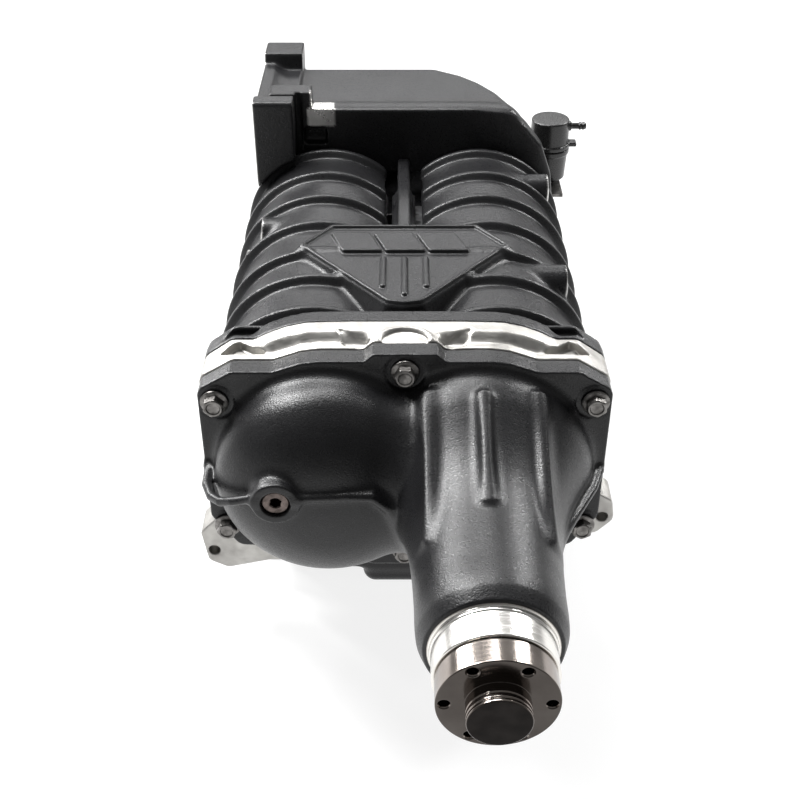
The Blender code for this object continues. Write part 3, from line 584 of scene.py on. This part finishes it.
def badge(s):
    """The raised plate between the barrels: a rimmed top with plain slanted blocks and three bars."""
    edge = outline(s.x, s.y, rounded([
        (45.5, 158, 3), (64.5, 132, 3), (10, 65, 6), (0, 63, 8), (-10, 65, 6), (-64.5, 132, 3),
        (-45.5, 158, 3)]))
    spread = edge - np.maximum(BADGE_TOP - s.z, 0) * 0.30
    plate = both(spread, s.z - (BADGE_TOP - 2.0), 1.2)
    rim = slab(np.abs(edge + 1.9) - 1.3, s.z, 55, BADGE_TOP, 0.8)
    plate = melt(plate, rim, 1.0)
    for x in (-39, -13, 13):
        block = rounded([(x - 6, 146, 1), (x + 18, 146, 1), (x + 26, 123, 1), (x + 2, 123, 1)])
        plate = melt(plate, slab(outline(s.x, s.y, block), s.z, 55, BADGE_TOP + 0.6, 0.8), 1.0)
    for x, y in ((-12.5, 82), (0, 73), (12.5, 82)):
        bar = rounded([(x - 1.6, y, 1.4), (x + 1.6, y, 1.4), (x + 1.6, 117, 1), (x - 1.6, 117, 1)])
        plate = melt(plate, slab(outline(s.x, s.y, bar), s.z, 55, BADGE_TOP, 0.8), 1.0)
    return np.maximum(plate, 30 - s.z)


def side_boss(s, x_end, y, z):
    """A round boss standing out sideways on a web that drops to the barrel, with a threaded end."""
    low, high = sorted((56 * np.sign(x_end), x_end))
    boss = slab(disc_x(s, y, z, 9.6), s.x, low, high, 1.0)
    web = brick(s, (low, high), (y - 7.5, y + 7.5), (z - 26, z + 2), 2)
    hole = slab(disc_x(s, y, z, 3.2), s.x, *sorted((x_end - 14 * np.sign(x_end), x_end * 2)))
    return melt(boss, web, 3), hole


def rotor_housing():
    s = Space((-116, CASE_FRONT - 3, BASE_Z - 2), (116, CASE_REAR + 3, 76), 1.2)
    barrels = ribbed_barrels(s)
    valley = brick(s, (-13, 13), (40, CASE_REAR), (-50, 40.5), 2)
    barrels = melt(barrels, valley, 3)
    spine = brick(s, (-4.2, 4.2), (150, CASE_REAR + 5), (30, 52), 1.6)
    for side in (-1, 1):
        groove = brick(s, (side * 9 - 3, side * 9 + 3), (168, CASE_REAR + 5), (37.5, 60), 2)
        barrels = carve(barrels, groove, 2)
    barrels = melt(barrels, spine, 3)
    barrels = melt(barrels, badge(s), 4)
    neck = brick(s, (-88, 88), (41, CASE_REAR), (-108, -20), 4)
    neck = melt(neck, brick(s, (-56, 56), (40.2, 100), (-116, -60), 4), 4)
    neck = melt(neck, brick(s, (-26, 26), (39.8, 100), (BASE_Z + 0.5, -70), 8), 6)
    base = brick(s, (-92, 92), (66, CASE_REAR - 1), (BASE_Z, -118), 2.5)
    walls = brick(s, (-84, 84), (66.5, CASE_REAR - 1), (BASE_Z + 2, -98), 3)
    barrels = melt(barrels, melt(melt(neck, base, 3), walls, 3), 6)
    barrels = np.maximum(barrels, CASE_FRONT + 2 - s.y)
    flange = slab(case_form(s), s.y, CASE_FRONT, 43, 0.9)
    ends = None
    for side in (-1, 1):
        plateau = rounded([(70, 61.2, 3), (92.5, 61.2, 6), (107, 51, 6), (109, 47, 4), (109, 30, 4),
                           (96, 28, 6), (70, 40, 4)])
        flange = melt(flange, slab(outline(s.x * side, s.z, plateau), s.y, CASE_FRONT, 47, 1.2), 1.5)
    body = melt(flange, barrels, 4)
    for side in (-1, 1):
        pocket = rounded([(77, 43.8, 1.5), (94, 43.8, 2), (99, 36, 2), (84, 35.5, 2)])
        body = carve(body, both(outline(s.x * side, s.y, pocket), 56.5 - s.z, 1), 1.4)
    for boss in ((-92, 188, 43.7), (100, 254.5, 43.3), (98, 121.7, 45.5)):
        solid, hole = side_boss(s, *boss)
        body = carve(melt(body, solid, 3), hole)
        end = np.maximum(np.abs(s.x - boss[0]) - 0.5, disc_x(s, *boss[1:], 10.5))
        ends = end if ends is None else np.minimum(ends, end)
    body = np.maximum(np.maximum(body, s.y - CASE_REAR), CASE_FRONT - s.y)
    for side in (-1, 1):
        body = carve(body, slab(disc_y(s, side * SHAFT_X, 0, 49), s.y, 0, 262))
        body = carve(body, slab(disc_y(s, side * SHAFT_X, 0, 14.3), s.y, 250, 278))
    body = carve(body, brick(s, (-58, 58), (255, 300), (19, 42)), 0.5)
    body = carve(body, brick(s, (-38, 38), (115, 215), (-110, -15)), 0.5)
    body = carve(body, brick(s, (-72, 72), (110, 262), (-150, -66), 6), 1)
    for x, z in BOLTS.values():
        body = carve(body, slab(disc_y(s, x, z, BOLT_HOLE_R), s.y, 20, 41.5))
    for x, z in ELBOW_BOLTS.values():
        body = carve(body, slab(disc_y(s, x, z, BOLT_HOLE_R), s.y, 268, 300))
    pad = brick(s, (-101, -94), (164, 172), (20, 40), 0.8)
    bare_or_shade = np.minimum(np.minimum(pad, ends), s.z - (BASE_Z + 0.6))
    body = np.maximum(melt(body, pad, 1), BASE_Z - s.z)
    piece = cast("case_casting", s, body, BLACK, bare_or_shade)
    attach(piece, "case")
    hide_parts("rotor_housing")


# ---- inlet elbow --------------------------------------------------------------------------------
DUCT_Y, DUCT_Z = 328, 42
VALVE_X, VALVE_Z = 50, -40


def inlet_elbow():
    s = Space((-106, 260, BASE_Z - 2), (112, 388, 105), 1.1)
    front = CASE_REAR + 0.3
    top = outline(s.x, s.y, rounded([
        (-85, 285, 0), (81, 285, 8), (76, 302, 8), (67, 325, 10), (56, 344, 10), (44, 358, 10), (24, 372, 12),
        (-85, 372, 0)]))
    low = outline(s.x, s.y, rounded([
        (-85, 285, 0), (105, 285, 6), (102, 300, 5), (92, 310, 4), (82, 311, 4), (78, 332, 10), (67, 348, 10),
        (52, 360, 10), (30, 371.5, 12), (-85, 372, 0)]))
    drop = np.clip((86 - s.z) / 70, 0, 1) ** 0.7
    body = slab(top * (1 - drop) + low * drop, s.z, -10, 86.8, 6)
    face = outline(s.x, s.z, rounded([
        (-70, 87, 3), (50, 87, 20), (69, 83.5, 10), (86, 74.5, 10), (98, 61.5, 10), (106, 39, 10),
        (108.5, 10, 10), (108.5, -12, 10), (88, -52, 10), (72, -78, 8), (-72, -78, 8), (-88, -50, 10),
        (-102.5, -26, 8), (-102.5, 4, 8), (-70, 20, 8)]))
    body = melt(body, slab(face, s.y, front, ELBOW_BOLT_SEAT, 2.5), 10)
    side = outline(s.y, s.z, rounded([
        (263, 102, 4), (276.5, 102, 2), (278.5, 90, 2), (357, 90, 2), (359, 102, 2), (385, 102, 2.5),
        (385, 78, 3), (376, 70, 4), (376, 12, 4), (385, 4, 3), (385, -16, 3), (366, -18, 3), (286, -18, 3),
        (285, 4, 3), (263, 44, 4)]))
    body = melt(body, slab(side, s.x, -103, -75, 1.2), 2.5)
    shelf = rounded([(-103, 94.5, 2), (-95, 94.5, 3), (-83, 86, 6), (-83, 60, 0), (-103, 60, 0)])
    body = melt(body, slab(outline(s.x, s.z, shelf), s.y, 270, 364, 1), 3)
    body = melt(body, brick(s, (-93, -64), (front - 3, 300), (58, 101), 1.5), 2)
    body = carve(body, brick(s, (-75, -71), (250, front + 1), (40, 120), 0.6), 0.8)
    pad = brick(s, (-66, -49), (front, 297), (77, 89), 0.6)
    body = melt(body, pad, 1)
    body = carve(body, brick(s, (-70, -54), (270, front + 7), (63, 75), 2.5), 1.5)
    body = melt(body, brick(s, (26, 80), (286, 358), (-122, 2), 5), 6)
    body = melt(body, brick(s, (12, 94), (286, 370), (BASE_Z, -118), 3), 3)
    body = melt(body, brick(s, (60, 95), (312, 330), (-6, 8), 2), 4)
    body = np.maximum(body, np.minimum(front - s.y, s.x + 75.5))
    body = np.maximum(body, np.maximum(263 - s.y, BASE_Z - s.z))
    shell = disc_y(s, -LOBE_X, LOBE_Z, LOBE_R + RIB_RISE + 1)
    body = carve(body, np.maximum(shell, s.y - front))
    body = carve(body, np.maximum(disc_x(s, DUCT_Y, DUCT_Z, 38), s.x - 52), 1.5)
    body = carve(body, brick(s, (-56, 56), (250, 330), (19.5, 41.5), 2))
    body = carve(body, np.maximum(disc_z(s, VALVE_X, DUCT_Y, 17), s.z - 30), 0.5)
    body = carve(body, np.maximum(disc_x(s, DUCT_Y, VALVE_Z, 4.4), 29.5 - s.x))
    body = carve(body, slab(disc_z(s, 90, 321, 2.4), s.z, -4, 20))
    body = carve(body, brick(s, (60, 112), (308, 351), (8.3, 11)))
    for x, z in ELBOW_BOLTS.values():
        body = carve(body, slab(disc_y(s, x, z, 9.2), s.y, ELBOW_BOLT_SEAT, 325), 1)
        body = carve(body, disc_y(s, x, z, BOLT_HOLE_R))
    patch = np.where(brick(s, (-67, -48), (front - 2, 298), (76, 90)) > 0, 5, -5)
    edge = brick(s, (-65, -62), (front - 4, front + 6), (88, 103))
    foot = s.z - (BASE_Z + 0.6)
    bare_or_shade = np.minimum(np.minimum(patch, edge), np.minimum(foot, s.x + 102.6))
    piece = cast("elbow_casting", s, body, BLACK, bare_or_shade)
    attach(piece, "case")
    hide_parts("inlet_elbow")


# ---- turned pieces ------------------------------------------------------------------------------
SIDES = 96


def lathe(name, profile, at, material, body):
    """Turns (radius, distance along y) points into a closed piece; at is in case millimetres."""
    mesh = bpy.data.meshes.new(name)
    shape = bmesh.new()
    chain = [shape.verts.new((r * MM, 0, d * MM)) for r, d in profile]
    edges = [shape.edges.new(pair) for pair in zip(chain, chain[1:])]
    bmesh.ops.spin(shape, geom=chain + edges, cent=(0, 0, 0), axis=(0, 0, 1), angle=math.tau, steps=SIDES,
                   use_merge=True)
    bmesh.ops.remove_doubles(shape, verts=shape.verts, dist=1e-6)
    bmesh.ops.recalc_face_normals(shape, faces=shape.faces)
    turn = Matrix.Rotation(-math.pi / 2, 4, "X")
    bmesh.ops.transform(shape, matrix=Matrix.Translation(place(*at)) @ turn, verts=shape.verts)
    shape.to_mesh(mesh)
    shape.free()
    mesh.shade_smooth()
    mesh.set_sharp_from_angle(angle=math.radians(28))
    mesh.materials.append(material)
    piece = bpy.data.objects.new(name, mesh)
    bpy.context.scene.collection.objects.link(piece)
    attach(piece, body)


def register():
    """The machined front of the snout: a narrow ring face, coloured deep brown as painted shade, behind the
    bright register.
    """
    s = Space((SHAFT_X - 34, -152.5, -34), (SHAFT_X + 34, -131, 34), 0.4)
    body = slab(disc_y(s, SHAFT_X, 0, 30.8), s.y, -134.5, -131.5, 0.3)
    body = melt(body, slab(disc_y(s, SHAFT_X, 0, 29.6), s.y, -136.8, -131.5, 0.4), 0.5)
    body = melt(body, slab(disc_y(s, SHAFT_X, 0, 29.0), s.y, -151.3, -131.5, 0.6), 0.8)
    body = carve(body, disc_y(s, SHAFT_X, 0, 21.4), 0.4)
    # marks the narrow front-facing ring face, which gets the painted shade
    face = np.maximum(np.abs(s.y + 134.6) - 0.4, -disc_y(s, SHAFT_X, 0, 30.4))
    ring = cast("snout_register", s, body, REGISTER, face)
    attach(ring, "case")


def drive_hub():
    """The hub's flange with six countersunk threaded holes, and its grooved pilot nose."""
    s = Space((SHAFT_X - 29, -177, -29), (SHAFT_X + 29, -149, 29), 0.33)
    flange = slab(disc_y(s, SHAFT_X, 0, 27.7), s.y, HUB_FACE, -151.8, 0.5)
    nose = slab(disc_y(s, SHAFT_X, 0, 14.65), s.y, NOSE_TIP, -155, 0.7)
    body = np.minimum(flange, nose)
    for y in (-170.2, -173.0):
        body = carve(body, slab(-disc_y(s, SHAFT_X, 0, 14.25), s.y, y - 0.28, y + 0.28), 0.2)
    for n in range(6):
        turn = math.radians(60 * n)
        x, z = SHAFT_X + 23.6 * math.cos(turn), 23.6 * math.sin(turn)
        body = carve(body, np.maximum(disc_y(s, x, z, 2.4), s.y + 156))
        body = carve(body, disc_y(s, x, z, 3.1 - np.clip((s.y - HUB_FACE) * 0.9, -0.3, 1)) * 0.8)
    # marks the flange face and the nose tip, which get the near-black painted shade
    face = np.minimum(np.abs(s.y - HUB_FACE), np.abs(s.y - NOSE_TIP)) - 0.3
    hub = cast("hub_body", s, body, HUB, face)
    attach(hub, "drive_train")
    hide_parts("drive_hub")
    lathe("hub_sleeve", [(8.8, -131), (19.5, -131), (19.5, -151.9), (8.8, -151.9), (8.8, -131)],
          (SHAFT_X, 0, 0), STEEL, "drive_train")


def hexagon(angle, across):
    """The radius of a hexagon at an angle, its corners slightly eased."""
    return across / 2 / math.cos((angle + math.pi / 6) % (math.pi / 3) - math.pi / 6)


def hex_turned(name, profile, at, material, facing, turn):
    """A turned piece with hexagonal parts: profile holds (radius, height, hexagon size or None)."""
    mesh = bpy.data.meshes.new(name)
    shape = bmesh.new()
    rings = []
    for radius, height, across in profile:
        ring = []
        for n in range(SIDES):
            angle = math.tau * n / SIDES
            r = min(radius, hexagon(angle + turn, across)) if across else radius
            spot = Vector((r * math.cos(angle), facing * height, r * math.sin(angle)))
            ring.append(shape.verts.new(spot * MM))
        rings.append(ring)
    for near, far in zip(rings, rings[1:]):
        for n in range(SIDES):
            shape.faces.new((near[n - 1], near[n], far[n], far[n - 1]))
    shape.faces.new(rings[0])
    shape.faces.new(rings[-1])
    bmesh.ops.recalc_face_normals(shape, faces=shape.faces)
    bmesh.ops.translate(shape, vec=place(*at), verts=shape.verts)
    shape.to_mesh(mesh)
    shape.free()
    mesh.shade_smooth()
    mesh.set_sharp_from_angle(angle=math.radians(24))
    mesh.materials.append(material)
    piece = bpy.data.objects.new(name, mesh)
    bpy.context.scene.collection.objects.link(piece)
    return piece


def flange_bolt(node, x, z, seat, tip, turn):
    """A hexagon flange bolt: dished head, chamfered corners, thin rounded washer and chamfered shank."""
    facing = -1 if tip > seat else 1
    profile = [
        (2.6, 5.9, None), (3.3, 6.1, None), (3.8, 6.75, None), (4.6, 6.8, 10), (5.45, 6.35, 10),
        (5.75, 6.05, 10), (6.2, 5.6, 10), (6.2, 2.0, 10), (6.3, 1.65, None), (6.9, 1.5, None),
        (7.35, 1.25, None), (7.5, 0.9, None), (7.5, 0.5, None), (7.3, 0.32, None), (3.0, 0.32, None),
        (3.0, -abs(tip - seat) + 0.7, None), (2.4, -abs(tip - seat), None)]
    bolt = hex_turned(f"{node}_body", profile, (x, seat, z), BOLT, facing, turn)
    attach(bolt, "case")
    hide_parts(node)


def fasteners():
    for n, (corner, (x, z)) in enumerate(BOLTS.items()):
        flange_bolt(f"cover_bolt_{corner}", x, z, 0, 40.5, math.radians((12, -8, 25, 3, 30, 17)[n]))
    for n, (corner, (x, z)) in enumerate(ELBOW_BOLTS.items()):
        flange_bolt(f"elbow_bolt_{corner}", x, z, ELBOW_BOLT_SEAT, 270, math.radians((20, 5, 28, 14)[n]))
    plug = hex_turned("plug_body", [
        (2.9, -6.0, 5.6), (3.24, -5.9, 5.6), (3.24, 0.8, 5.6), (3.5, 1.2, None), (5.2, 1.35, None),
        (6.5, 1.2, None), (7.1, 0.8, None), (7.25, 0.3, None), (7.25, -0.6, None), (5.6, -0.7, None),
        (5.6, -11.0, None), (5.0, -11.6, None)], (PLUG_X, -44.4, PLUG_Z), PLUG, -1, math.radians(10))
    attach(plug, "case")
    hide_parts("oil_fill_plug")


# ---- bypass actuator ----------------------------------------------------------------------------
ROD_LOW, ROD_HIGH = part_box("actuator_rod")
DISC_LOW, DISC_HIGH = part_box("actuator_diaphragm")
CAP_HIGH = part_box("actuator_can_upper")[1]
CAN_X = ((ROD_LOW.x + ROD_HIGH.x) / 2 - DATUM.x) / MM
CAN_Y = ((DISC_LOW.y + DISC_HIGH.y) / 2 - DATUM.y) / MM
CAN_TOP = (CAP_HIGH.z - DATUM.z) / MM
BARB_TIP = (CAP_HIGH.x - DATUM.x) / MM


def actuator():
    """The vacuum can: a domed cap with a hose barb, a crimp ring with a tab, and a cup with a neck."""
    rim_top, rim_low, low = CAN_TOP - 18, CAN_TOP - 25, CAN_TOP - 46
    s = Space((CAN_X - 19, CAN_Y - 19, rim_low), (BARB_TIP + 2, CAN_Y + 19, CAN_TOP + 2), 0.5)
    radius = 14.5 - np.clip((s.z - rim_top) / 20, 0, 1) * 0.5
    can = slab(np.hypot(s.x - CAN_X, s.y - CAN_Y) - radius, s.z, rim_low + 3.7, CAN_TOP, 1.3)
    rim = slab(disc_z(s, CAN_X, CAN_Y, 15.6), s.z, rim_low + 3.7, rim_top, 0.7)
    tab = brick(s, (CAN_X + 10, CAN_X + 20.5), (CAN_Y - 4, CAN_Y + 4), (rim_low + 3.7, rim_top), 0.8)
    barb = slab(disc_x(s, CAN_Y, CAN_TOP - 6, 2.3), s.x, CAN_X + 5, BARB_TIP - 0.1, 0.5)
    for x in (BARB_TIP - 1.6, BARB_TIP - 4.0):
        cone = np.hypot(s.y - CAN_Y, s.z - CAN_TOP + 6) - 3.3 + np.clip(s.x - x + 1.2, 0, 3) * 0.5
        barb = melt(barb, slab(cone, s.x, x - 1.2, x + 1.2, 0.3), 0.4)
    root = slab(disc_x(s, CAN_Y, CAN_TOP - 6, 3.6), s.x, CAN_X + 8, CAN_X + 15.8, 0.6)
    body = melt(melt(melt(can, rim, 0.6), tab, 0.8), melt(barb, root, 0.8), 0.8)
    body = carve(body, slab(disc_z(s, CAN_X, CAN_Y, 12.4), s.z, rim_low - 4, CAN_TOP - 2.5, 0.5))
    body = carve(body, np.maximum(disc_x(s, CAN_Y, CAN_TOP - 6, 1.2), CAN_X - s.x))
    upper = cast("can_cap", s, np.maximum(body, rim_low + 3.6 - s.z), PLASTIC)
    s = Space((CAN_X - 18, CAN_Y - 18, low - 6), (CAN_X + 18, CAN_Y + 18, rim_low + 5), 0.5)
    radius = 13.3 + np.clip((s.z - low) / 21, 0, 1) * 1.1
    cup = slab(np.hypot(s.x - CAN_X, s.y - CAN_Y) - radius, s.z, low, rim_low + 3, 1.2)
    lip = slab(disc_z(s, CAN_X, CAN_Y, 15.4), s.z, rim_low - 1, rim_low + 3.2, 0.7)
    neck = slab(disc_z(s, CAN_X, CAN_Y, 5.9), s.z, low - 3.9, low + 4, 0.5)
    body = melt(melt(cup, lip, 0.8), neck, 1.0)
    body = carve(body, slab(disc_z(s, CAN_X, CAN_Y, 12.0), s.z, low + 2.6, rim_low + 9, 0.5))
    body = carve(body, disc_z(s, CAN_X, CAN_Y, 2.8))
    lower = cast("can_cup", s, body, PLASTIC)
    for piece, node in ((upper, "actuator_can_upper"), (lower, "actuator_can_lower")):
        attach(piece, "case")
        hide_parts(node)


# ---- camera, floor and light --------------------------------------------------------------------
def stage():
    """A white paper floor just under the unit."""
    reach = 3.0
    corners = [(-reach, -reach, 0), (reach, -reach, 0), (reach, reach, 0), (-reach, reach, 0)]
    mesh = bpy.data.meshes.new("floor")
    mesh.from_pydata(corners, [], [(0, 1, 2, 3)])
    floor = bpy.data.objects.new("floor", mesh)
    bpy.context.scene.collection.objects.link(floor)
    floor.location.z = -0.0005
    nodes = Nodes("floor_paper")
    nodes.link(nodes.colours(nodes.noise(3, 2), [(0.3, (0.22, 0.22, 0.22)), (0.7, (0.24, 0.24, 0.24))]),
               nodes.shader.inputs["Base Color"])
    set_inputs(nodes.shader, Roughness=0.9, Emission_Color=(1, 1, 1, 1), Emission_Strength=0.84)
    mesh.materials.append(nodes.material)


def lamp(name, spot, target, size, power):
    data = bpy.data.lights.new(name, "AREA")
    data.shape = "RECTANGLE"
    data.size, data.size_y = size
    data.energy = power
    light = bpy.data.objects.new(name, data)
    bpy.context.scene.collection.objects.link(light)
    light.location = place(*spot)
    aim = place(*target) - light.location
    light.rotation_euler = aim.to_track_quat("-Z", "Y").to_euler()


def lights():
    """A white surround, brighter behind, with softboxes above and strips and a panel at the back."""
    world = bpy.data.worlds.new("studio")
    bpy.context.scene.world = world
    world.use_nodes = True
    tree = world.node_tree
    background = tree.nodes["Background"]
    background.inputs["Color"].default_value = (1, 1, 1, 1)
    split = tree.nodes.new("ShaderNodeSeparateXYZ")
    tree.links.new(tree.nodes.new("ShaderNodeTexCoord").outputs["Generated"], split.inputs[0])
    reach = tree.nodes.new("ShaderNodeMapRange")
    for key, value in (("From Min", -0.6), ("From Max", 0.9), ("To Min", 0.16), ("To Max", 0.45)):
        reach.inputs[key].default_value = value
    tree.links.new(split.outputs["Y"], reach.inputs["Value"])
    tree.links.new(reach.outputs["Result"], background.inputs["Strength"])
    bpy.context.scene.view_settings.view_transform = "Standard"
    lamp("overhead", (-120, 520, 1080), (0, 60, 0), (0.50, 0.34), 10)
    lamp("upper_left", (-640, 380, 900), (-20, 0, 20), (0.36, 0.36), 20)
    lamp("strip_left", (-947, 842, 553), (0, 40, 0), (0.14, 0.6), 12)
    lamp("strip_right", (871, 842, 775), (0, 40, 0), (0.14, 0.6), 11)
    lamp("rear_panel", (0, 1140, 600), (0, 330, 60), (1.0, 0.22), 3)


def camera():
    """Looks down from in front, a little above the hub's end."""
    pitch_down = 35.7
    data = bpy.data.cameras.new("camera")
    data.sensor_width = 36
    data.lens = 53.6
    eye = bpy.data.objects.new("camera", data)
    bpy.context.scene.collection.objects.link(eye)
    eye.location = place(-2.6, -506.9, 408.2)
    eye.rotation_euler = (math.radians(90 - pitch_down), 0, 0)
    bpy.context.scene.camera = eye


def finish_cad_nodes():
    """Every CAD node that still shows gets a worked material for its kind."""
    kinds = {"black_casting": BLACK, "bare_aluminium": ALUMINIUM, "machined_steel": STEEL, "dark_steel": BOLT,
             "rotor_metal": ROTOR, "black_plastic": PLASTIC, "seal_rubber": RUBBER}
    slots = {entry["node"]: entry["material_slot"] for entry in frame["record"]["subparts"]}
    for name, node in frame["nodes"].items():
        node.data.materials.clear()
        node.data.materials.append(kinds[slots[name]])


finish_cad_nodes()
front_cover()
bearing_plate()
rotor_housing()
inlet_elbow()
register()
drive_hub()
fasteners()
actuator()
stage()
lights()
camera()
